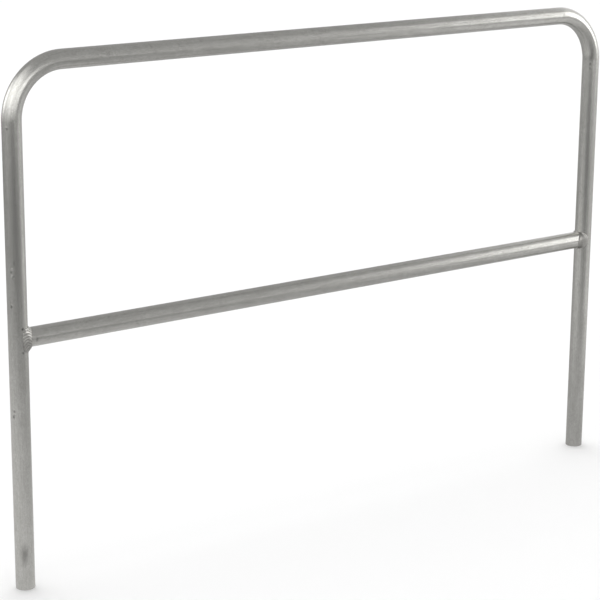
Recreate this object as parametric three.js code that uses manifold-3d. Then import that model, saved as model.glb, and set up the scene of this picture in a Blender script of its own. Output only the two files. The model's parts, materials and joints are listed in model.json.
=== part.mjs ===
// Crowd control barrier: one bent hoop of round tube with a straight mid rail welded between its legs.
// Units are millimetres. X runs along the rails, Y through the thickness and Z up. The origin is midway
// between the two leg ends, at their lowest level.

import * as THREE from 'three';
import { mergeVertices } from 'three/addons/utils/BufferGeometryUtils.js';
import Module from 'manifold-3d';

// Driving dimensions
const TUBE_DIAMETER = 40;
const TUBE_WALL = 2.5;
const OVERALL_HEIGHT = 1100;
const OVERALL_WIDTH = 1600;
const BEND_RADIUS = 112.5;
const MID_RAIL_TOP_HEIGHT = 550;
const VENT_DIAMETER = 12;

// Weld beads: how far the bead lies on each tube, and how proud of them it stands
const WELD_LEG_ON_POST = 8;
const WELD_WRAP_ROUND_POST = 3;
const WELD_LEG_ON_RAIL = 9;
const WELD_SIDE_REACH = 18;
const WELD_CROWN = 2;
const WELD_ROOT_DEPTH = 9;

// Clearance between pieces that touch
const FIT_GAP = 0.3;

// Fineness of the facets
const TUBE_SIDES = 40;
const BEND_STEPS = 12;
const CUTTER_SIDES = 48;
const WELD_STEPS = 48;
const WELD_SECTION_SIDES = 12;

// Sizes that follow from them
const TUBE_RADIUS = TUBE_DIAMETER / 2;
const BORE_RADIUS = TUBE_RADIUS - TUBE_WALL;
const LEG_CENTRE_X = OVERALL_WIDTH / 2 - TUBE_RADIUS;
const TOP_RAIL_Z = OVERALL_HEIGHT - TUBE_RADIUS;
const MID_RAIL_Z = MID_RAIL_TOP_HEIGHT - TUBE_RADIUS;
const BEND_CENTRE_X = LEG_CENTRE_X - BEND_RADIUS;
const BEND_CENTRE_Z = TOP_RAIL_Z - BEND_RADIUS;

const manifoldLibrary = await Module();
manifoldLibrary.setup();

function toSolid(geometry) {
  const bare = geometry.clone();
  bare.deleteAttribute('normal');
  bare.deleteAttribute('uv');
  const merged = mergeVertices(bare);
  const mesh = new manifoldLibrary.Mesh({
    numProp: 3,
    vertProperties: new Float32Array(merged.attributes.position.array),
    triVerts: new Uint32Array(merged.index.array),
  });
  return new manifoldLibrary.Manifold(mesh);
}

function toGeometry(solid) {
  const mesh = solid.getMesh();
  const geometry = new THREE.BufferGeometry();
  geometry.setAttribute('position', new THREE.BufferAttribute(mesh.vertProperties, 3));
  geometry.setIndex(new THREE.BufferAttribute(mesh.triVerts, 1));
  geometry.computeVertexNormals();
  return geometry;
}

// The hoop's centreline: up the left leg, round a bend, along the top rail, round a bend, down the right leg.
// The parameter counts sections, one for each straight and BEND_STEPS for each bend. The two halves mirror
// each other, so a place is found by its side and by how many sections it is from the nearer leg's end.
class HoopCentreline extends THREE.Curve {
  static sections = 3 + 2 * BEND_STEPS;

  locate(t) {
    const section = t * HoopCentreline.sections;
    const fromEnd = Math.min(section, HoopCentreline.sections - section);
    const side = section <= HoopCentreline.sections / 2 ? -1 : 1;
    const upLeg = Math.min(fromEnd, 1);
    const turn = THREE.MathUtils.clamp((fromEnd - 1) / BEND_STEPS, 0, 1) * (Math.PI / 2);
    const alongHalfRail = Math.max(fromEnd - 1 - BEND_STEPS, 0) * 2;
    return { side, upLeg, turn, alongHalfRail };
  }

  getPoint(t, target = new THREE.Vector3()) {
    const { side, upLeg, turn, alongHalfRail } = this.locate(t);
    const fromMiddle = BEND_CENTRE_X * (1 - alongHalfRail) + BEND_RADIUS * Math.cos(turn);
    return target.set(side * fromMiddle, 0, BEND_CENTRE_Z * upLeg + BEND_RADIUS * Math.sin(turn));
  }

  getTangent(t, target = new THREE.Vector3()) {
    const { side, turn } = this.locate(t);
    return target.set(Math.sin(turn), 0, -side * Math.cos(turn));
  }

  getPointAt(u, target) {
    return this.getPoint(u, target);
  }

  getTangentAt(u, target) {
    return this.getTangent(u, target);
  }
}

function tubeSection() {
  const section = new THREE.Shape();
  section.absarc(0, 0, TUBE_RADIUS, 0, 2 * Math.PI, false);
  const bore = new THREE.Path();
  bore.absarc(0, 0, BORE_RADIUS, 0, 2 * Math.PI, true);
  section.holes.push(bore);
  return section;
}

function sweepTube(path, steps) {
  return new THREE.ExtrudeGeometry(tubeSection(), {
    steps,
    curveSegments: TUBE_SIDES / 2,
    extrudePath: path,
    bevelEnabled: false,
  });
}

// A solid round bar that stands upright at x, used to cut the shape of a leg out of another piece.
function legCutter(x) {
  const radius = TUBE_RADIUS + FIT_GAP;
  const bar = new THREE.CylinderGeometry(radius, radius, OVERALL_HEIGHT, CUTTER_SIDES);
  bar.rotateX(Math.PI / 2);
  bar.translate(x, 0, OVERALL_HEIGHT / 2);
  return toSolid(bar);
}

// A solid round bar that lies along X at the mid rail's height.
function railCutter(radius, centreX, length) {
  const bar = new THREE.CylinderGeometry(radius, radius, length, CUTTER_SIDES);
  bar.rotateZ(Math.PI / 2);
  bar.translate(centreX, 0, MID_RAIL_Z);
  return toSolid(bar);
}

// The hoop, with a vent hole through each leg's inner wall where the mid rail's bore meets it, so that
// zinc and air can pass through the closed mid rail when the barrier is galvanised.
function makeHoop() {
  let hoop = toSolid(sweepTube(new HoopCentreline(), HoopCentreline.sections));
  for (const side of [-1, 1]) {
    const ventX = side * (LEG_CENTRE_X - TUBE_RADIUS);
    hoop = hoop.subtract(railCutter(VENT_DIAMETER / 2, ventX, TUBE_RADIUS));
  }
  return toGeometry(hoop);
}

// The mid rail, coped at both ends to the round of the legs.
function makeMidRail() {
  const start = new THREE.Vector3(-LEG_CENTRE_X, 0, MID_RAIL_Z);
  const end = new THREE.Vector3(LEG_CENTRE_X, 0, MID_RAIL_Z);
  const blank = toSolid(sweepTube(new THREE.LineCurve3(start, end), 1));
  return toGeometry(blank.subtract(legCutter(-LEG_CENTRE_X)).subtract(legCutter(LEG_CENTRE_X)));
}

// The bead's edge on the leg. turn runs once round the joint, starting at the top.
// Distances are from the leg's axis at the mid rail's height, with +X towards the middle of the barrier.
function edgeOnLeg(turn) {
  const quarterRound = (TUBE_RADIUS * Math.PI) / 2;
  const angle = ((quarterRound + WELD_WRAP_ROUND_POST) * Math.sin(turn)) / TUBE_RADIUS;
  const height = (TUBE_RADIUS + WELD_LEG_ON_POST) * Math.cos(turn);
  return new THREE.Vector3(TUBE_RADIUS * Math.cos(angle), TUBE_RADIUS * Math.sin(angle), height);
}

// The bead's edge on the mid rail, further along the rail above and below than at the sides.
function edgeOnRail(turn) {
  const reachAbove = TUBE_RADIUS + WELD_LEG_ON_RAIL;
  const reach = WELD_SIDE_REACH + (reachAbove - WELD_SIDE_REACH) * Math.cos(turn) ** 2;
  return new THREE.Vector3(reach, TUBE_RADIUS * Math.sin(turn), TUBE_RADIUS * Math.cos(turn));
}

// One point of the bead's ring: a flattened round between the two edges that crowns out of the joint and
// goes down past its root.
function beadPoint(turn, sectionAngle) {
  const onLeg = edgeOnLeg(turn);
  const onRail = edgeOnRail(turn);
  const middle = onLeg.clone().add(onRail).multiplyScalar(0.5);
  const across = onRail.clone().sub(onLeg).multiplyScalar(0.5);
  const outward = new THREE.Vector3(0, Math.sin(turn), Math.cos(turn));
  outward.addScaledVector(across, -outward.dot(across) / across.lengthSq()).normalize();
  const rise = Math.sin(sectionAngle);
  const depth = rise > 0 ? WELD_CROWN : WELD_ROOT_DEPTH;
  return middle.addScaledVector(across, Math.cos(sectionAngle)).addScaledVector(outward, depth * rise);
}

// The weld all round one joint: a closed ring shaped by beadPoint, less the two tubes that it joins.
function makeWeld(side) {
  const ring = new THREE.TorusGeometry(TUBE_RADIUS, WELD_CROWN, WELD_SECTION_SIDES, WELD_STEPS);
  const position = ring.attributes.position;
  const perRow = WELD_STEPS + 1;
  for (let index = 0; index < position.count; index += 1) {
    const turn = ((index % perRow) / WELD_STEPS) * 2 * Math.PI;
    const sectionAngle = (Math.floor(index / perRow) / WELD_SECTION_SIDES) * 2 * Math.PI;
    const point = beadPoint(-side * turn, sectionAngle);
    position.setXYZ(index, side * (LEG_CENTRE_X - point.x), point.y, MID_RAIL_Z + point.z);
  }
  const rail = railCutter(TUBE_RADIUS + FIT_GAP, 0, OVERALL_WIDTH);
  return toGeometry(toSolid(ring).subtract(legCutter(side * LEG_CENTRE_X)).subtract(rail));
}

const galvanisedTube = { color: 0x9fa19e, roughness: 0.42, metalness: 1 };
const weldMetal = { color: 0x8b8c88, roughness: 0.55, metalness: 1 };

function piece(name, geometry, finish) {
  const mesh = new THREE.Mesh(geometry, new THREE.MeshStandardMaterial(finish));
  mesh.name = name;
  return mesh;
}

const barrier = new THREE.Group();
barrier.add(piece('hoop_tube', makeHoop(), galvanisedTube));
barrier.add(piece('mid_rail', makeMidRail(), galvanisedTube));
barrier.add(piece('left_weld', makeWeld(-1), weldMetal));
barrier.add(piece('right_weld', makeWeld(1), weldMetal));

export default barrier;
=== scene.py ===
"""Crowd control barrier: a hot-dip galvanised hoop of round tube with a mid rail welded between its legs.

Sizes are in metres, except where a comment says millimetres. X runs along the rails, -Y is the front, Z is
up, and the legs stand on z = 0.
"""

import json
import math

import bpy
from bpy.props import FloatProperty, FloatVectorProperty, PointerProperty
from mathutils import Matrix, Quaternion, Vector, noise

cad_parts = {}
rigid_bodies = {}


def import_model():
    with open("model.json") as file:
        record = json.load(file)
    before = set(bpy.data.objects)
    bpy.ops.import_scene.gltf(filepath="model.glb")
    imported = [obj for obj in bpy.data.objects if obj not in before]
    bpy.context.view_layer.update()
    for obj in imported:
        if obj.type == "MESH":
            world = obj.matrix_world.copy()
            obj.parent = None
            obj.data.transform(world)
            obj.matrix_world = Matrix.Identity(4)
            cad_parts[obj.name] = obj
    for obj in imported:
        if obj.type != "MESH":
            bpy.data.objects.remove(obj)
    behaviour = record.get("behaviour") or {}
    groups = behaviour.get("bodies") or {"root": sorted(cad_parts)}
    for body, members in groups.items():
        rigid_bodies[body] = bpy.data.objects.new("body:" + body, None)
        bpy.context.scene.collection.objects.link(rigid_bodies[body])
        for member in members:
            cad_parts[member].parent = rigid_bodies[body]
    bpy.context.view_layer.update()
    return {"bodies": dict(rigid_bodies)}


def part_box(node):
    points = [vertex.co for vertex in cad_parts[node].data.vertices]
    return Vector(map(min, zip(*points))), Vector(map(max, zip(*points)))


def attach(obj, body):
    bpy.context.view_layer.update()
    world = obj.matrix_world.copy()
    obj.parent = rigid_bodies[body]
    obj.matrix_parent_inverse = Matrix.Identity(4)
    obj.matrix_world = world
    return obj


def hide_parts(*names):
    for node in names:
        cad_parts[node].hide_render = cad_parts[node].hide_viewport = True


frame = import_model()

bl_info = {
    "name": "Crowd Control Barrier",
    "version": (1, 0, 0),
    "blender": (4, 5, 0),
    "location": "3D View > Sidebar > Barrier",
    "description": "Builds a welded hoop barrier in galvanised tube, with its floor, light and camera",
    "category": "Add Mesh",
}

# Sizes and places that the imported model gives
HOOP_LOW, HOOP_HIGH = (Vector(corner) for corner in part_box("hoop_tube"))
RAIL_LOW, RAIL_HIGH = (Vector(corner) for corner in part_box("mid_rail"))
BODY = next(iter(frame["bodies"]))
TUBE_RADIUS = (HOOP_HIGH.y - HOOP_LOW.y) / 2
LEG_X = HOOP_HIGH.x - TUBE_RADIUS
TOP_RAIL_Z = HOOP_HIGH.z - TUBE_RADIUS
MID_RAIL_Z = (RAIL_LOW.z + RAIL_HIGH.z) / 2
FLOOR_Z = HOOP_LOW.z

MM = 0.001
FULL_TURN = 2 * math.pi
QUARTER_TURN = math.pi / 2

# Gap between each coped end of the mid rail and its leg, hidden in the weld
COPE_CLEARANCE = 0.3 * MM

FLOOR_SIZE = 60.0
SENSOR_WIDTH = 36.0  # millimetres

# How finely the tubes and the welds are divided
TUBE_SIDES = 96
BEND_RINGS = 40
STRAIGHT_RING_SPACING = 0.03
MARK_RING_SPACING = 0.0009
END_ROUND_RINGS = 4
WELD_RINGS = 440
WELD_SECTION_POINTS = 32

# Zinc pimples and pits on the hoop: distance along the tube from the left leg's end, angle in degrees round
# the tube from the hoop's outer side towards the front, and width and height in millimetres. A height below
# zero is a pit.
HOOP_MARKS = (
    (0.958, 30, 3.0, 0.35),
    (0.678, 40, 3.4, 0.5),
    (0.664, 38, 4.0, 0.45),
    (0.660, 47, 2.4, -0.5),
    (0.607, 33, 3.2, 0.4),
    (0.600, 26, 2.6, -0.5),
    (0.386, 24, 3.4, -0.6),
    (0.378, 27, 3.0, -0.6),
    (0.371, 22, 3.4, 0.4),
)

# Dark smears and scuffs on the hoop, and a spot of painted shade at the left weld's top toe: distance and
# angle as above, length and width in millimetres, and darkness from 0 to 1. A distance below zero is
# counted back from the right leg's end.
HOOP_STAINS_AND_SHADE = (
    (0.078, 64, 34, 13, 0.45),
    (0.372, 20, 6, 4, 0.6),
    (0.384, 27, 5, 3.5, 0.6),
    # The next two are near-black spots at the left weld's lower and upper toes on the leg; the upper one is
    # the painted shade of an undercut, which the mesh doesn't have
    (0.5055, 91, 4, 3.5, 0.95),
    (0.5545, 91, 4, 4, 0.95),
    (0.601, 28, 5, 4, 0.6),
    (0.661, 46, 5, 4, 0.6),
    (0.671, 33, 4, 3, 0.55),
    (0.690, 52, 7, 3, 0.3),
    (0.955, 34, 4, 3, 0.4),
    (1.24, 80, 9, 5, 0.25),
    (-0.961, 137, 5, 3, 0.4),
    (-0.951, 137, 4, 3, 0.35),
)
# The same on the mid rail: distance from the left leg's axis, and angle from the top towards the front
RAIL_STAINS = (
    (0.032, 95, 4, 9, 0.35),
    (1.48, 60, 3, 3, 0.3),
)

# The two beads, in millimetres; -1 is the left one and 1 the right. "wrap" is how far the bead passes the
# leg's front line, and "boxiness" is 2 for an oval edge on the leg and more for a squarer one. "rise" and
# "drop" are that edge's reach above and below the mid rail. The rail edge reaches from the leg's axis by
# "side_reach" at the front and back and by "top_reach" above and below. "ripple", "chevron" and "face_soot"
# are shares, and "seed" picks the bead's small irregularities.
BEADS = {
    -1: {
        "wrap": 0.0, "boxiness": 4.5, "rise": 5.0, "drop": 6.5,
        "side_reach": 19.8, "top_reach": 27.0, "reach_curve": 2.0,
        "crown": 1.5, "rim": 0.2, "hollow": 0.0,
        "ripple": 1.2, "chevron": 1.5, "face_soot": 0.1, "seed": 11,
    },
    1: {
        "wrap": -2.2, "boxiness": 2.1, "rise": 1.6, "drop": 1.6,
        "side_reach": 34.0, "top_reach": 20.8, "reach_curve": 2.4,
        "crown": 1.3, "rim": 2.4, "hollow": 1.1,
        "ripple": 0.15, "chevron": 0.3, "face_soot": 0.5, "seed": 29,
    },
}

# Soft lights and a dark flag round the studio, seen only in the metal: direction from the back (0) towards
# the right (90), height angle, radius of the full part and width of the soft edge, in degrees, and strength
STUDIO_DOME_RADIUS = 12.0
STUDIO_LIGHTS = {
    "right_strip": (115, 25, 10, 4, 1.8),
    "right_strip_foot": (120, 10, 10, 4, 2.5),
    "right_wall": (90, 0, 45, 5, 0.5),
    "front_softbox": (-170, 0, 20, 10, 1.8),
    "front_flag": (-160, 0, 0, 35, -1.5),
    "front_left_softbox": (-135, 25, 10, 25, 1.2),
    "left_softbox": (-90, 35, 5, 40, 1.5),
    "back_left_window": (-40, 20, 5, 20, 2.0),
}

# Pools of light and of shade on the floor, seen only in the metal: x and y of the centre, reach along x and
# along y, and strength
FLOOR_POOLS = {
    "left_pool": (-1.5, -1.0, 2.0, 3.0, 1.4),
    "right_pool": (2.0, -1.0, 1.0, 1.5, 0.4),
    "shade_beside_camera": (-2.0, -1.5, 4.0, 8.0, -0.75),
    "shade_before_camera": (-1.5, -2.0, 2.0, 2.5, -0.9),
}


# ---------------------------------------------------------------- settings


class BarrierTubeSettings(bpy.types.PropertyGroup):
    """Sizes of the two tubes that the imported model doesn't give."""

    wall: FloatProperty(
        name="Wall", description="Thickness of the tube's wall", default=0.0025, unit="LENGTH")
    bend_radius: FloatProperty(
        name="Bend Radius", description="Radius of each bend at the tube's centre", default=0.1125,
        unit="LENGTH")
    bend_flattening: FloatProperty(
        name="Bend Flattening",
        description="How much a bend's outer side is drawn in, as a part of the tube's radius",
        default=0.03)
    end_round: FloatProperty(
        name="End Rounding", description="Radius of the deburred outer edge of each leg end",
        default=0.0012, unit="LENGTH")


class BarrierWeldSettings(bpy.types.PropertyGroup):
    """Sizes that both weld beads share."""

    ripple_pitch: FloatProperty(
        name="Ripple Pitch", description="Distance from one weld ripple to the next", default=0.0058,
        unit="LENGTH")
    ripple_height: FloatProperty(
        name="Ripple Height", description="Height of one ripple", default=0.0010, unit="LENGTH")
    root_depth: FloatProperty(
        name="Root Depth", description="How deep the bead's hidden root goes between the tubes",
        default=0.008, unit="LENGTH")


class BarrierFinishSettings(bpy.types.PropertyGroup):
    """Colours and roughness of the zinc coat."""

    zinc: FloatVectorProperty(
        name="Zinc", description="Colour of the zinc coat", default=(0.605, 0.60, 0.575), size=3,
        subtype="COLOR", min=0, max=1)
    dull_zinc: FloatVectorProperty(
        name="Dull Zinc", description="Colour of the zinc where it has dulled", default=(0.44, 0.435, 0.41),
        size=3, subtype="COLOR", min=0, max=1)
    weld_zinc: FloatVectorProperty(
        name="Weld Zinc", description="Colour of the coat over the weld", default=(0.38, 0.37, 0.35),
        size=3, subtype="COLOR", min=0, max=1)
    # Dark colour of the weld's soot and its painted shade, and of the hoop's stains and its spot of painted
    # shade
    soot_and_shade: FloatVectorProperty(
        name="Weld Soot and Shade", description="Colour in the weld's grooves and along its toes",
        default=(0.06, 0.057, 0.053), size=3, subtype="COLOR", min=0, max=1)
    roughness: FloatProperty(
        name="Roughness", description="Roughness of the clean zinc", default=0.17, min=0, max=1,
        subtype="FACTOR")
    weld_roughness: FloatProperty(
        name="Weld Roughness", description="Roughness of the coat over the welds", default=0.36, min=0.05,
        max=0.95, subtype="FACTOR")
    dull_roughness: FloatProperty(
        name="Dull Roughness", description="Roughness of the dulled zinc", default=0.25, min=0, max=1,
        subtype="FACTOR")


class BarrierStageSettings(bpy.types.PropertyGroup):
    """The floor, the studio's brightness and the camera."""

    floor_colour: FloatVectorProperty(
        name="Floor Colour", description="Colour of the floor", default=(0.86, 0.86, 0.86), size=3,
        subtype="COLOR", min=0, max=1)
    wall_glow: FloatProperty(
        name="Wall Glow", description="Brightness of the studio's walls in the metal", default=0.55)
    ceiling_glow: FloatProperty(
        name="Ceiling Glow", description="Brightness of the studio's ceiling in the metal", default=0.45)
    floor_glow: FloatProperty(
        name="Floor Glow", description="Brightness of the open floor in the metal", default=0.75)
    floor_light: FloatProperty(
        name="Floor Light", description="Strength of the soft lamp over the floor", default=1.6)
    darkest_glow: FloatProperty(
        name="Darkest Glow", description="Brightness of the darkest place in the metal", default=0.02)
    camera_distance: FloatProperty(
        name="Camera Distance", description="Distance from the camera to its target", default=4.322,
        unit="LENGTH")
    camera_azimuth: FloatProperty(
        name="Camera Azimuth", description="Turn of the camera round the barrier, to the left of the front",
        default=math.radians(36.67), subtype="ANGLE")
    camera_elevation: FloatProperty(
        name="Camera Elevation", description="Angle of the camera above its target",
        default=math.radians(14.75), subtype="ANGLE")
    camera_roll: FloatProperty(
        name="Camera Roll", description="Turn of the camera about its own line of sight",
        default=math.radians(0.42), subtype="ANGLE")
    camera_lens: FloatProperty(
        name="Lens", description="Focal length, in millimetres", default=117.96)
    target_x: FloatProperty(
        name="Target X", description="Place along the rails that the camera looks at", default=-0.0813,
        unit="LENGTH")
    target_z: FloatProperty(
        name="Target Height", description="Height that the camera looks at", default=0.5047, unit="LENGTH")


# ---------------------------------------------------------------- meshes


def add_mesh_piece(name, points, faces, material, attributes):
    """Makes a smooth mesh object from points and faces, with one value of each attribute for each point."""
    mesh = bpy.data.meshes.new(name)
    mesh.from_pydata(points, [], faces)
    mesh.validate()
    mesh.shade_smooth()
    for key, values in attributes.items():
        kind = "FLOAT" if isinstance(values[0], float) else "FLOAT_VECTOR"
        field = "value" if kind == "FLOAT" else "vector"
        attribute = mesh.attributes.new(key, kind, "POINT")
        flat = values if kind == "FLOAT" else [number for vector in values for number in vector]
        attribute.data.foreach_set(field, flat)
    mesh.materials.append(material)
    piece = bpy.data.objects.new(name, mesh)
    bpy.context.collection.objects.link(piece)
    return piece


def ring_faces(ring_count, side_count, first, closed):
    """Four-sided faces between neighbouring rings of points that are numbered ring by ring from first."""
    faces = []
    for ring in range(ring_count if closed else ring_count - 1):
        following = (ring + 1) % ring_count
        for side in range(side_count):
            beside = (side + 1) % side_count
            faces.append((
                first + ring * side_count + side,
                first + ring * side_count + beside,
                first + following * side_count + beside,
                first + following * side_count + side,
            ))
    return faces


def smooth_step(value):
    """Eases from 0 to 1 as the value goes from 0 to 1, and stays level beyond."""
    value = min(max(value, 0.0), 1.0)
    return value * value * (3 - 2 * value)


def settle_on_frame(piece, node):
    """Fixes a finished piece to the barrier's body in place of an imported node, and hides that node."""
    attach(piece, BODY)
    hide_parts(node)


# ---------------------------------------------------------------- hoop


class HoopLine:
    """The hoop's centreline, by distance along it from the left leg's end."""

    def __init__(self, bend_radius):
        self.bend_radius = bend_radius
        self.leg = TOP_RAIL_Z - bend_radius - FLOOR_Z
        self.bend = QUARTER_TURN * bend_radius
        self.half_rail = LEG_X - bend_radius
        self.half_length = self.leg + self.bend + self.half_rail
        self.length = 2 * self.half_length

    def at(self, distance):
        """Centre, outward direction, and how far round a bend the place is, from 0 to 1."""
        side = -1 if distance <= self.half_length else 1
        from_end = min(distance, self.length - distance)
        turn = min(max((from_end - self.leg) / self.bend, 0), 1) * QUARTER_TURN
        along_rail = max(from_end - self.leg - self.bend, 0)
        x = self.half_rail - along_rail + self.bend_radius * math.cos(turn)
        z = FLOOR_Z + min(from_end, self.leg) + self.bend_radius * math.sin(turn)
        outward = Vector((side * math.cos(turn), 0, math.sin(turn)))
        return Vector((side * x, 0, z)), outward, turn / QUARTER_TURN

    def rings(self, end_round):
        """Distances of the rings: close together at the ends, round the bends and beside each mark."""
        places = {0.0, self.length}
        for step in range(1, END_ROUND_RINGS + 1):
            inset = end_round * (1 - math.cos(QUARTER_TURN * step / END_ROUND_RINGS))
            places.update((inset, self.length - inset))
        for start in (self.leg, self.length - self.leg - self.bend):
            places.update(start + self.bend * step / BEND_RINGS for step in range(BEND_RINGS + 1))
        count = int(self.length / STRAIGHT_RING_SPACING)
        for step in range(1, count):
            place = STRAIGHT_RING_SPACING * step
            from_end = min(place, self.length - place)
            in_bend = self.leg < from_end < self.leg + self.bend
            if not in_bend and place < self.length - STRAIGHT_RING_SPACING / 2:
                places.add(place)
        for distance, _angle, width, _height in HOOP_MARKS:
            reach = int(width * MM * 2 / MARK_RING_SPACING)
            places.update(distance + MARK_RING_SPACING * step for step in range(-reach, reach + 1))
        kept = []
        for place in sorted(places):
            if not kept or place - kept[-1] > MARK_RING_SPACING / 4:
                kept.append(place)
        kept[-1] = self.length
        return kept


def mark_height(distance, angle):
    """How far the zinc marks lift or sink the hoop's surface at one place."""
    total = 0.0
    for mark_distance, mark_angle, width, height in HOOP_MARKS:
        if abs(distance - mark_distance) > 3 * width * MM:
            continue
        across = (angle - math.radians(mark_angle) + math.pi) % FULL_TURN - math.pi
        spread = math.hypot(distance - mark_distance, across * TUBE_RADIUS) / (width * MM / 2)
        total += height * MM * math.exp(-spread * spread)
    return total


def make_hoop(tube, material):
    """The hoop: a tube with a bore, deburred leg ends, bends drawn in a little, and the zinc marks."""
    line = HoopLine(tube.bend_radius)
    bore_radius = TUBE_RADIUS - tube.wall
    distances = line.rings(tube.end_round)
    points, straightened = [], []

    def add_ring(distance, radius, shaped):
        centre, outward, bent = line.at(distance)
        in_bend = math.sin(math.pi * bent) if 0 < bent < 1 else 0.0
        from_end = min(distance, line.length - distance)
        rounded_off = 0.0
        if shaped and from_end < tube.end_round:
            short = 1 - from_end / tube.end_round
            rounded_off = tube.end_round * (1 - math.sqrt(max(1 - short * short, 0)))
        for side in range(TUBE_SIDES):
            angle = FULL_TURN * side / TUBE_SIDES
            out, front = math.cos(angle), math.sin(angle)
            flattened = radius * tube.bend_flattening * in_bend * max(out, 0) ** 2
            relief = mark_height(distance, angle) if shaped else 0.0
            reach = radius - flattened - rounded_off + relief
            points.append(centre + reach * (out * outward + front * Vector((0, -1, 0))))
            straightened.append((radius * out, radius * front, distance))

    for distance in distances:
        add_ring(distance, TUBE_RADIUS, True)
    bore_first = len(points)
    bore_distances = [0.0]
    bore_distances += [d for d in distances if line.leg <= min(d, line.length - d) <= line.leg + line.bend]
    bore_distances += [line.length]
    for distance in bore_distances:
        add_ring(distance, bore_radius, False)

    faces = [face[::-1] for face in ring_faces(len(distances), TUBE_SIDES, 0, False)]
    faces += ring_faces(len(bore_distances), TUBE_SIDES, bore_first, False)
    last_outer = (len(distances) - 1) * TUBE_SIDES
    last_bore = bore_first + (len(bore_distances) - 1) * TUBE_SIDES
    for side in range(TUBE_SIDES):
        beside = (side + 1) % TUBE_SIDES
        faces.append((side, beside, bore_first + beside, bore_first + side))
        faces.append((last_outer + beside, last_outer + side, last_bore + side, last_bore + beside))
    piece = add_mesh_piece("hoop_tube_fine", points, faces, material, {"tube_place": straightened})
    keep_rims_crisp(piece, (0, last_outer, bore_first, last_bore))
    return piece


def keep_rims_crisp(piece, rims):
    """Marks the rims of the cut ends as sharp. Each rim is a ring of points, given by its first point."""
    for edge in piece.data.edges:
        first, second = edge.vertices
        low, high = min(first, second), max(first, second)
        edge.use_edge_sharp = any(rim <= low and high < rim + TUBE_SIDES for rim in rims)


# ---------------------------------------------------------------- mid rail


def make_mid_rail(tube, material):
    """The mid rail, with both ends coped to the round of the legs."""
    bore_radius = TUBE_RADIUS - tube.wall
    span = int(2 * LEG_X / STRAIGHT_RING_SPACING)
    points, straightened = [], []

    def add_wall(radius):
        for ring in range(span + 1):
            for side in range(TUBE_SIDES):
                angle = FULL_TURN * side / TUBE_SIDES
                up, front = radius * math.cos(angle), radius * math.sin(angle)
                cope = math.sqrt((TUBE_RADIUS + COPE_CLEARANCE) ** 2 - front * front)
                x = (LEG_X - cope) * (2 * ring / span - 1)
                points.append(Vector((x, -front, MID_RAIL_Z + up)))
                straightened.append((up, front, LEG_X + x))

    add_wall(TUBE_RADIUS)
    bore_first = len(points)
    add_wall(bore_radius)
    faces = ring_faces(span + 1, TUBE_SIDES, 0, False)
    faces += [face[::-1] for face in ring_faces(span + 1, TUBE_SIDES, bore_first, False)]
    last_outer = span * TUBE_SIDES
    last_bore = bore_first + last_outer
    for side in range(TUBE_SIDES):
        beside = (side + 1) % TUBE_SIDES
        faces.append((beside, side, bore_first + side, bore_first + beside))
        faces.append((last_outer + side, last_outer + beside, last_bore + beside, last_bore + side))
    piece = add_mesh_piece("mid_rail_fine", points, faces, material, {"tube_place": straightened})
    keep_rims_crisp(piece, (0, last_outer, bore_first, last_bore))
    return piece


# ---------------------------------------------------------------- welds


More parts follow.
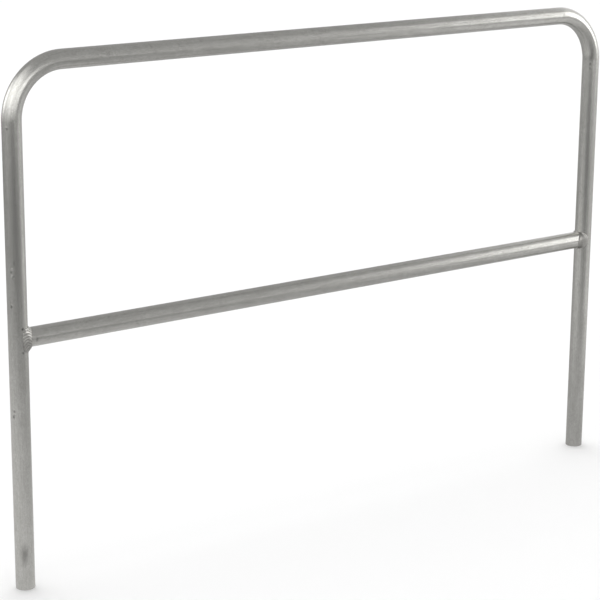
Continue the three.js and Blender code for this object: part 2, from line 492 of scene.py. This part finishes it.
class WeldShape:
    """One bead round a coped joint. Distances are from the leg's axis at the mid rail's height, with +x
    towards the middle of the barrier. Turn 0 is the top of the joint and a quarter turn is its front."""

    def __init__(self, weld, side):
        self.weld = weld
        self.bead = BEADS[side]

    def mm(self, key):
        return self.bead[key] * MM

    def wander(self, turn, level, amount):
        """A small smooth random change of an edge, which joins up after a full turn."""
        spot = Vector((math.cos(turn) * 2.2, math.sin(turn) * 2.2, level + self.bead["seed"]))
        return amount * noise.noise(spot)

    def ripple(self, run, place, turn):
        """Height of the ripples at one place across the bead, from 0 in a groove to 1 on a crest."""
        # The chevrons grow from the top of the joint, where this is 0, to its bottom, where it is 1
        down = 0.5 - 0.5 * math.cos(turn)
        bend = self.bead["chevron"] * (0.2 + down) * abs(place) ** 1.4
        phase = run / self.weld.ripple_pitch - bend
        phase += 0.25 * noise.noise(Vector((run * 60, place * 0.5, self.bead["seed"])))
        part = phase - math.floor(phase)
        return math.sqrt(max(1 - (2 * part - 1) ** 2, 0))

    def edge_on_leg(self, turn, run=0.0):
        """The bead's edge on the leg, at one turn round the joint and one distance along the pass."""
        out, up = math.sin(turn), math.cos(turn)
        power = self.bead["boxiness"]
        boxed = (abs(out) ** power + abs(up) ** power) ** (-1 / power)
        around = TUBE_RADIUS * QUARTER_TURN + self.mm("wrap") + self.wander(turn, 1.3, 1.0 * MM)
        around += 0.8 * MM * self.bead["ripple"] * (self.ripple(run, -1, turn) - 0.5)
        angle = around * out * boxed / TUBE_RADIUS
        spread = self.mm("rise") if up > 0 else self.mm("drop")
        height = (TUBE_RADIUS + spread + self.wander(turn, 4.1, 1.0 * MM)) * up * boxed
        return Vector((TUBE_RADIUS * math.cos(angle), TUBE_RADIUS * math.sin(angle), height))

    def edge_on_rail(self, turn, run=0.0):
        """The bead's edge on the mid rail, at the same turn and distance."""
        side_reach, top_reach = self.mm("side_reach"), self.mm("top_reach")
        reach = top_reach + (side_reach - top_reach) * abs(math.sin(turn)) ** self.bead["reach_curve"]
        reach += self.wander(turn, 8.7, 1.4 * MM) * abs(math.sin(turn))
        reach += 1.2 * MM * self.bead["ripple"] * (self.ripple(run, 1, turn) - 0.5) * abs(math.sin(turn))
        return Vector((reach, TUBE_RADIUS * math.sin(turn), TUBE_RADIUS * math.cos(turn)))

    def even_turns(self, count):
        """Turns that set the rings evenly along the bead's two edges, and the distance run at each."""
        fine = [FULL_TURN * step / (8 * count) for step in range(8 * count + 1)]
        edges = [(self.edge_on_leg(turn), self.edge_on_rail(turn)) for turn in fine]
        runs = [0.0]
        for (leg, rail), (next_leg, next_rail) in zip(edges, edges[1:]):
            runs.append(runs[-1] + ((next_leg - leg).length + (next_rail - rail).length) / 2)
        turns, spot = [], 0
        for ring in range(count):
            wanted = runs[-1] * ring / count
            while runs[spot + 1] < wanted:
                spot += 1
            turns.append((fine[spot], wanted))
        return turns, runs[-1]

    def point(self, turn, section, run):
        """A place on the bead's skin and its darkness, which is soot with painted shade; section is an
        angle round the bead's own thickness.
        """
        on_leg, on_rail = self.edge_on_leg(turn, run), self.edge_on_rail(turn, run)
        across = (on_rail - on_leg) / 2
        outward = Vector((0, math.sin(turn), math.cos(turn)))
        outward -= across * (outward.dot(across) / across.length_squared)
        outward.normalize()
        place, rise = math.cos(section), math.sin(section)
        middle = (on_leg + on_rail) / 2
        if rise <= 0:
            return middle + across * place + outward * self.weld.root_depth * rise, 0.0
        # Height: a crown, the ripples, a rim over the upper shoulder, and a hollow inside it
        swell = self.ripple(run, place, turn)
        fade = rise ** 0.5
        at_side = abs(math.sin(turn)) ** 1.5
        height = (0.2 * MM + self.mm("crown") * at_side) * rise
        ripple_share = self.bead["ripple"] * fade * (0.35 + 0.65 * at_side)
        height += self.weld.ripple_height * ripple_share * (swell - 0.5)
        over_shoulder = smooth_step(2.5 * abs(math.sin(turn)) - 0.9) * smooth_step(0.75 + math.cos(turn))
        height += self.mm("rim") * over_shoulder * math.exp(-((place + 0.74) / 0.20) ** 2)
        height -= self.mm("hollow") * at_side * math.exp(-((place - 0.1) / 0.5) ** 2)
        # Soot and painted shade: soot with painted shade in the grooves; along the toes soot, darker at the
        # top toe and darkest at the bottom, where the shadow under the joint is painted; and soot more
        # thinly over the face
        # Ripple grooves: the weld's soot, with the grooves' shade painted in as well
        groove = (1 - swell) ** 1.3 * self.bead["ripple"]
        # Painted shadow under the joint, strongest at its bottom
        shade_under_joint = smooth_step(0.4 - 1.6 * math.cos(turn))
        over_top = smooth_step(2.5 * math.cos(turn) - 1.4)
        # Toe darkness: soot, with the painted shadow under the joint
        toe_soot_and_shade = smooth_step(1.5 * abs(place) ** 8 - 0.35) * max(0.6, shade_under_joint, over_top)
        face = self.bead["face_soot"] * math.exp(-((place - 0.3) / 0.5) ** 2)
        return middle + across * place + outward * height, min(max(groove, toe_soot_and_shade) + face, 1.0)


def make_weld(weld, side, material):
    """One closed bead, as a ring of cross-sections; side is -1 for the left joint and 1 for the right."""
    shape = WeldShape(weld, side)
    points, soot_and_shade_values, places = [], [], []
    turns, whole_run = shape.even_turns(WELD_RINGS)
    for turn, run in turns:
        # Two passes, one down the front and one down the back, both from the top to the bottom
        pass_run = min(run, whole_run - run)
        for step in range(WELD_SECTION_POINTS):
            section = FULL_TURN * step / WELD_SECTION_POINTS
            spot, soot_and_shade = shape.point(turn, section, pass_run)
            points.append(Vector((side * (LEG_X - spot.x), -spot.y, MID_RAIL_Z + spot.z)))
            # Soot and painted shade, one value for each point
            soot_and_shade_values.append(float(soot_and_shade))
            places.append((spot.x, spot.y, spot.z))
    faces = ring_faces(WELD_RINGS, WELD_SECTION_POINTS, 0, True)
    if side < 0:
        faces = [face[::-1] for face in faces]
    name = ("left" if side < 0 else "right") + "_weld_bead"
    return add_mesh_piece(name, points, faces, material, {"soot_and_shade": soot_and_shade_values, "tube_place": places})


# ---------------------------------------------------------------- materials


class Nodes:
    """Short calls for building a node tree from left to right."""

    def __init__(self, tree):
        self.tree = tree
        tree.nodes.clear()

    def add(self, kind, **settings):
        node = self.tree.nodes.new(kind)
        for key, value in settings.items():
            setattr(node, key, value)
        return node

    def join(self, output, target):
        self.tree.links.new(output, target)

    def attribute(self, name, socket):
        node = self.add("ShaderNodeAttribute", attribute_name=name)
        return node.outputs[socket]

    def stretch(self, vector, scale):
        node = self.add("ShaderNodeVectorMath", operation="MULTIPLY")
        self.join(vector, node.inputs[0])
        node.inputs[1].default_value = scale
        return node.outputs[0]

    def noise(self, vector, scale, detail, roughness=0.5, distortion=0.0):
        node = self.add("ShaderNodeTexNoise")
        self.join(vector, node.inputs["Vector"])
        node.inputs["Scale"].default_value = scale
        node.inputs["Detail"].default_value = detail
        node.inputs["Roughness"].default_value = roughness
        node.inputs["Distortion"].default_value = distortion
        return node.outputs["Fac"]

    def cells(self, vector, scale):
        node = self.add("ShaderNodeTexVoronoi")
        self.join(vector, node.inputs["Vector"])
        node.inputs["Scale"].default_value = scale
        return node.outputs["Color"]

    def remap(self, value, low, high, to_low=0.0, to_high=1.0, soft=False):
        curve = "SMOOTHSTEP" if soft else "LINEAR"
        node = self.add("ShaderNodeMapRange", clamp=True, interpolation_type=curve)
        self.join(value, node.inputs["Value"])
        for key, number in (("From Min", low), ("From Max", high), ("To Min", to_low), ("To Max", to_high)):
            node.inputs[key].default_value = number
        return node.outputs["Result"]

    def math(self, operation, left, right):
        node = self.add("ShaderNodeMath", operation=operation)
        for socket, value in zip(node.inputs, (left, right)):
            if isinstance(value, (int, float)):
                socket.default_value = value
            else:
                self.join(value, socket)
        return node.outputs[0]

    def mix(self, share, first, second):
        node = self.add("ShaderNodeMix", data_type="RGBA")
        self.join(share, node.inputs["Factor"])
        for socket, value in ((node.inputs["A"], first), (node.inputs["B"], second)):
            if isinstance(value, (tuple, list)):
                socket.default_value = value
            else:
                self.join(value, socket)
        return node.outputs["Result"]

    def bump(self, height, strength, distance, normal=None):
        node = self.add("ShaderNodeBump")
        node.inputs["Strength"].default_value = strength
        node.inputs["Distance"].default_value = distance
        self.join(height, node.inputs["Height"])
        if normal is not None:
            self.join(normal, node.inputs["Normal"])
        return node.outputs["Normal"]


def opaque(colour):
    """The colour with full alpha."""
    return (*colour[:3], 1.0)


def new_material(name):
    """A metal material, its nodes and its shader."""
    material = bpy.data.materials.new(name)
    material.use_nodes = True
    nodes = Nodes(material.node_tree)
    shader = nodes.add("ShaderNodeBsdfPrincipled")
    output = nodes.add("ShaderNodeOutputMaterial")
    nodes.join(shader.outputs[0], output.inputs["Surface"])
    shader.inputs["Metallic"].default_value = 1.0
    return material, nodes, shader


def stain_and_shade_share(nodes, place, stains_and_shade, tube_length):
    """How dark the stains, and the painted shade among them, make each place on a tube, from 0 to 1."""
    total = 0.0
    for distance, angle, length, width, darkness in stains_and_shade:
        turn = math.radians(angle)
        along = distance + tube_length if distance < 0 else distance
        centre = (TUBE_RADIUS * math.cos(turn), TUBE_RADIUS * math.sin(turn), along)
        moved = nodes.add("ShaderNodeVectorMath", operation="SUBTRACT")
        nodes.join(place, moved.inputs[0])
        moved.inputs[1].default_value = centre
        reach = nodes.add("ShaderNodeVectorMath", operation="LENGTH")
        squeeze = (1 / (width * MM), 1 / (width * MM), 1 / (length * MM))
        nodes.join(nodes.stretch(moved.outputs[0], squeeze), reach.inputs[0])
        share = nodes.remap(reach.outputs["Value"], 1.0, 0.15, 0.0, darkness, soft=True)
        total = nodes.math("MAXIMUM", total, share)
    return total


def galvanised_tube(name, finish, stains_and_shade, tube_length):
    """Zinc-coated drawn tube: faint lines along it, soft mottling, small crystals, and a few stains and a
    spot of painted shade.
    """
    material, nodes, shader = new_material(name)
    place = nodes.attribute("tube_place", "Vector")
    mottle = nodes.noise(nodes.stretch(place, (1.0, 1.0, 0.35)), 60.0, 6.0, 0.65, 0.5)
    streaks = nodes.noise(nodes.stretch(place, (1.0, 1.0, 0.04)), 300.0, 4.0, 0.6)
    lines = nodes.noise(nodes.stretch(place, (1.0, 1.0, 0.015)), 1700.0, 2.0, 0.5)
    grain = nodes.noise(nodes.stretch(place, (1.0, 1.0, 0.5)), 520.0, 3.0, 0.6)
    crystals = nodes.cells(nodes.stretch(place, (1.0, 1.0, 0.6)), 240.0)
    patchy = nodes.remap(mottle, 0.34, 0.66, 0.0, 0.45)
    streaky = nodes.remap(streaks, 0.35, 0.65, 0.0, 0.3)
    tone = nodes.math("ADD", patchy, streaky)
    speckled = nodes.remap(crystals, 0.0, 1.0, 0.0, 0.25)
    grainy = nodes.remap(grain, 0.36, 0.64, 0.0, 0.3)
    fine = nodes.math("ADD", speckled, grainy)
    dullness = nodes.math("ADD", nodes.math("MULTIPLY", tone, 0.8), fine)
    coat = nodes.mix(dullness, opaque(finish.zinc), opaque(finish.dull_zinc))
    broken = nodes.remap(mottle, 0.38, 0.60, 0.45, 1.0)
    # Stains and, on the hoop, the painted shade at the left weld's top toe
    stain_and_shade_amount = nodes.math("MULTIPLY", stain_and_shade_share(nodes, place, stains_and_shade, tube_length), broken)
    nodes.join(nodes.mix(stain_and_shade_amount, coat, opaque(finish.soot_and_shade)), shader.inputs["Base Color"])
    rough = nodes.remap(dullness, 0.0, 1.0, finish.roughness, finish.dull_roughness)
    nodes.join(rough, shader.inputs["Roughness"])
    drawn = nodes.bump(lines, 0.20, 0.0005)
    rippled = nodes.bump(streaks, 0.16, 0.0008, drawn)
    grained = nodes.bump(grain, 0.10, 0.0004, rippled)
    nodes.join(nodes.bump(mottle, 0.10, 0.0014, grained), shader.inputs["Normal"])
    return material


def galvanised_weld(name, finish):
    """The same coat over rough weld metal, darkened in the grooves and along the toes by soot and by
    painted shade and shadow.
    """
    material, nodes, shader = new_material(name)
    place = nodes.attribute("tube_place", "Vector")
    # The bead's soot with its painted shade: painted shade in the grooves and painted shadow under the
    # joint
    soot_and_shade = nodes.attribute("soot_and_shade", "Fac")
    mottle = nodes.noise(place, 160.0, 5.0, 0.65)
    grain = nodes.noise(place, 1400.0, 3.0, 0.6)
    patchy = nodes.remap(mottle, 0.35, 0.65, 0.0, 0.6)
    coat = nodes.mix(patchy, opaque(finish.weld_zinc), opaque(finish.zinc))
    dark = nodes.math("MULTIPLY", soot_and_shade, nodes.remap(mottle, 0.25, 0.6, 0.5, 1.0))
    nodes.join(nodes.mix(dark, coat, opaque(finish.soot_and_shade)), shader.inputs["Base Color"])
    smoothest, roughest = finish.weld_roughness - 0.05, finish.weld_roughness + 0.05
    rough = nodes.remap(mottle, 0.3, 0.7, smoothest, roughest)
    nodes.join(rough, shader.inputs["Roughness"])
    fine = nodes.bump(grain, 0.15, 0.0002)
    nodes.join(nodes.bump(mottle, 0.15, 0.0006, fine), shader.inputs["Normal"])
    return material


def plain_floor(name, stage):
    """Matt pale paper."""
    material, _nodes, shader = new_material(name)
    shader.inputs["Metallic"].default_value = 0.0
    shader.inputs["Base Color"].default_value = opaque(stage.floor_colour)
    shader.inputs["Roughness"].default_value = 0.9
    shader.inputs["Specular IOR Level"].default_value = 0.1
    return material


# ---------------------------------------------------------------- stage


def seen_only_in_metal(thing):
    """Hides a glowing thing from the camera and from matt surfaces, and casts no shadow."""
    thing.visible_camera = False
    thing.visible_glossy = True
    thing.visible_diffuse = False
    thing.visible_transmission = False
    thing.visible_volume_scatter = False
    thing.visible_shadow = False


def add_dome(name, radius, material):
    """Half a sphere over the studio, whose glow is seen only in the metal."""
    rings, sides = 16, 64
    points = []
    for ring in range(rings):
        lift = QUARTER_TURN * ring / rings
        for side in range(sides):
            angle = FULL_TURN * side / sides
            points.append((
                radius * math.cos(lift) * math.cos(angle),
                radius * math.cos(lift) * math.sin(angle),
                FLOOR_Z + radius * math.sin(lift),
            ))
    points.append((0, 0, FLOOR_Z + radius))
    faces = ring_faces(rings, sides, 0, False)
    last = (rings - 1) * sides
    faces += [(last + side, last + (side + 1) % sides, rings * sides) for side in range(sides)]
    mesh = bpy.data.meshes.new(name)
    mesh.from_pydata(points, [], faces)
    mesh.materials.append(material)
    dome = bpy.data.objects.new(name, mesh)
    bpy.context.collection.objects.link(dome)
    seen_only_in_metal(dome)
    return dome


def add_plane(name, size, level, material):
    """A level square centred under the barrier."""
    half = size / 2
    corners = [(-half, -half, level), (half, -half, level), (half, half, level), (-half, half, level)]
    mesh = bpy.data.meshes.new(name)
    mesh.from_pydata(corners, [], [(0, 1, 2, 3)])
    mesh.materials.append(material)
    plane = bpy.data.objects.new(name, mesh)
    bpy.context.collection.objects.link(plane)
    return plane


def glow_material(name):
    """A material that only glows, its nodes, and its strength socket."""
    material = bpy.data.materials.new(name)
    material.use_nodes = True
    nodes = Nodes(material.node_tree)
    glow = nodes.add("ShaderNodeEmission")
    output = nodes.add("ShaderNodeOutputMaterial")
    nodes.join(glow.outputs[0], output.inputs["Surface"])
    return material, nodes, glow.inputs["Strength"]


def dome_glow(name, stage):
    """Studio walls and ceiling as the metal sees them, with the soft lights and flags on them."""
    material, nodes, strength = glow_material(name)
    place = nodes.add("ShaderNodeTexCoord").outputs["Object"]
    normalize = nodes.add("ShaderNodeVectorMath", operation="NORMALIZE")
    nodes.join(place, normalize.inputs[0])
    direction = normalize.outputs[0]
    split = nodes.add("ShaderNodeSeparateXYZ")
    nodes.join(direction, split.inputs[0])
    total = nodes.remap(split.outputs["Z"], 0.0, 1.0, stage.wall_glow, stage.ceiling_glow)
    for azimuth, elevation, full, edge, power in STUDIO_LIGHTS.values():
        across, lift = math.radians(azimuth), math.radians(elevation)
        facing = nodes.add("ShaderNodeVectorMath", operation="DOT_PRODUCT")
        nodes.join(direction, facing.inputs[0])
        facing.inputs[1].default_value = (
            math.sin(across) * math.cos(lift), math.cos(across) * math.cos(lift), math.sin(lift))
        away = nodes.math("ARCCOSINE", facing.outputs["Value"], 0.0)
        outer = math.radians(full + edge)
        share = nodes.remap(away, outer, math.radians(full), 0.0, power, soft=True)
        total = nodes.math("ADD", total, share)
    nodes.join(nodes.math("MAXIMUM", total, stage.darkest_glow), strength)
    return material


def floor_glow(name, stage):
    """The floor as the metal sees it, with its pools of light and shade."""
    material, nodes, strength = glow_material(name)
    place = nodes.add("ShaderNodeTexCoord").outputs["Object"]
    total = stage.floor_glow
    for x, y, width, depth, power in FLOOR_POOLS.values():
        moved = nodes.add("ShaderNodeVectorMath", operation="SUBTRACT")
        nodes.join(place, moved.inputs[0])
        moved.inputs[1].default_value = (x, y, 0.0)
        reach = nodes.add("ShaderNodeVectorMath", operation="LENGTH")
        nodes.join(nodes.stretch(moved.outputs[0], (1 / width, 1 / depth, 0.0)), reach.inputs[0])
        squared = nodes.math("MULTIPLY", reach.outputs["Value"], reach.outputs["Value"])
        share = nodes.math("POWER", math.exp(-1), squared)
        total = nodes.math("ADD", total, nodes.math("MULTIPLY", share, power))
    nodes.join(nodes.math("MAXIMUM", total, stage.darkest_glow), strength)
    return material


def make_world():
    """Studio walls and ceiling: pale near the horizon, greyer overhead."""
    world = bpy.data.worlds.new("studio")
    bpy.context.scene.world = world
    world.use_nodes = True
    nodes = Nodes(world.node_tree)
    sky = nodes.add("ShaderNodeBackground")
    output = nodes.add("ShaderNodeOutputWorld")
    nodes.join(sky.outputs[0], output.inputs["Surface"])
    direction = nodes.add("ShaderNodeTexCoord").outputs["Generated"]
    split = nodes.add("ShaderNodeSeparateXYZ")
    nodes.join(direction, split.inputs[0])
    brightness = nodes.remap(split.outputs["Z"], 0.05, 0.75, 0.86, 0.72)
    nodes.join(brightness, sky.inputs["Strength"])
    sky.inputs["Color"].default_value = (1.0, 1.0, 1.0, 1.0)


def make_floor_light(stage):
    """One very soft lamp for the floor, which the metal doesn't see."""
    lamp = bpy.data.lights.new("floor_light", "SUN")
    lamp.energy = stage.floor_light
    lamp.angle = math.radians(70)
    sun = bpy.data.objects.new("floor_light", lamp)
    sun.rotation_euler = (math.radians(-25), math.radians(15), 0)
    bpy.context.collection.objects.link(sun)
    sun.visible_glossy = False


def make_camera(stage):
    """The camera, in front of the barrier and to its left, looking a little down."""
    data = bpy.data.cameras.new("camera")
    data.lens = stage.camera_lens
    data.sensor_width = SENSOR_WIDTH
    camera = bpy.data.objects.new("camera", data)
    azimuth, elevation = stage.camera_azimuth, stage.camera_elevation
    back = Vector((
        -math.sin(azimuth) * math.cos(elevation),
        -math.cos(azimuth) * math.cos(elevation),
        math.sin(elevation),
    ))
    camera.location = Vector((stage.target_x, 0, stage.target_z)) + back * stage.camera_distance
    camera.rotation_mode = "QUATERNION"
    look = (-back).to_track_quat("-Z", "Y")
    camera.rotation_quaternion = look @ Quaternion((0, 0, 1), stage.camera_roll)
    bpy.context.collection.objects.link(camera)
    bpy.context.scene.camera = camera


# ---------------------------------------------------------------- operators


class BARRIER_OT_hoop(bpy.types.Operator):
    """Build the bent hoop tube that makes both legs and the top rail"""

    bl_idname = "barrier.hoop"
    bl_label = "Hoop Tube"

    def execute(self, context):
        scene = context.scene
        length = HoopLine(scene.barrier_tube.bend_radius).length
        material = galvanised_tube("galvanised_hoop", scene.barrier_finish, HOOP_STAINS_AND_SHADE, length)
        settle_on_frame(make_hoop(scene.barrier_tube, material), "hoop_tube")
        return {"FINISHED"}


class BARRIER_OT_mid_rail(bpy.types.Operator):
    """Build the mid rail, coped to the legs"""

    bl_idname = "barrier.mid_rail"
    bl_label = "Mid Rail"

    def execute(self, context):
        scene = context.scene
        material = galvanised_tube("galvanised_mid_rail", scene.barrier_finish, RAIL_STAINS, 2 * LEG_X)
        settle_on_frame(make_mid_rail(scene.barrier_tube, material), "mid_rail")
        return {"FINISHED"}


class BARRIER_OT_welds(bpy.types.Operator):
    """Build the weld bead round each end of the mid rail"""

    bl_idname = "barrier.welds"
    bl_label = "Weld Beads"

    def execute(self, context):
        scene = context.scene
        material = galvanised_weld("galvanised_weld", scene.barrier_finish)
        for side, node in ((-1, "left_weld"), (1, "right_weld")):
            settle_on_frame(make_weld(scene.barrier_weld, side, material), node)
        return {"FINISHED"}


class BARRIER_OT_stage(bpy.types.Operator):
    """Build the floor, the studio light and the camera"""

    bl_idname = "barrier.stage"
    bl_label = "Floor, Light and Camera"

    def execute(self, context):
        stage = context.scene.barrier_stage
        floor = add_plane("floor", FLOOR_SIZE, FLOOR_Z, plain_floor("floor_paper", stage))
        floor.visible_glossy = False
        mirror = add_plane("floor_in_reflections", FLOOR_SIZE, FLOOR_Z, floor_glow("floor_glow", stage))
        seen_only_in_metal(mirror)
        add_dome("studio_in_reflections", STUDIO_DOME_RADIUS, dome_glow("studio_glow", stage))
        make_world()
        make_floor_light(stage)
        make_camera(stage)
        context.scene.view_settings.view_transform = "Standard"
        return {"FINISHED"}


class BARRIER_PT_panel(bpy.types.Panel):
    """Sizes, colours and buttons for the barrier"""

    bl_idname = "BARRIER_PT_panel"
    bl_label = "Crowd Control Barrier"
    bl_space_type = "VIEW_3D"
    bl_region_type = "UI"
    bl_category = "Barrier"

    def draw(self, context):
        layout = self.layout
        for title, key in SETTINGS_TITLES:
            box = layout.box()
            box.label(text=title)
            settings = getattr(context.scene, key)
            for name in settings.__annotations__:
                box.prop(settings, name)
        for operator in OPERATORS:
            layout.operator(operator.bl_idname)


SETTINGS = (
    ("barrier_tube", BarrierTubeSettings),
    ("barrier_weld", BarrierWeldSettings),
    ("barrier_finish", BarrierFinishSettings),
    ("barrier_stage", BarrierStageSettings),
)
SETTINGS_TITLES = (
    ("Tube", "barrier_tube"),
    ("Weld", "barrier_weld"),
    ("Finish", "barrier_finish"),
    ("Stage", "barrier_stage"),
)
OPERATORS = (BARRIER_OT_hoop, BARRIER_OT_mid_rail, BARRIER_OT_welds, BARRIER_OT_stage)
CLASSES = tuple(group for _key, group in SETTINGS) + OPERATORS + (BARRIER_PT_panel,)


def register():
    for cls in CLASSES:
        bpy.utils.register_class(cls)
    for key, group in SETTINGS:
        setattr(bpy.types.Scene, key, PointerProperty(type=group))


def unregister():
    for key, _group in SETTINGS:
        delattr(bpy.types.Scene, key)
    for cls in reversed(CLASSES):
        bpy.utils.unregister_class(cls)


def main():
    register()
    bpy.ops.barrier.hoop()
    bpy.ops.barrier.mid_rail()
    bpy.ops.barrier.welds()
    bpy.ops.barrier.stage()


if __name__ == "__main__":
    main()
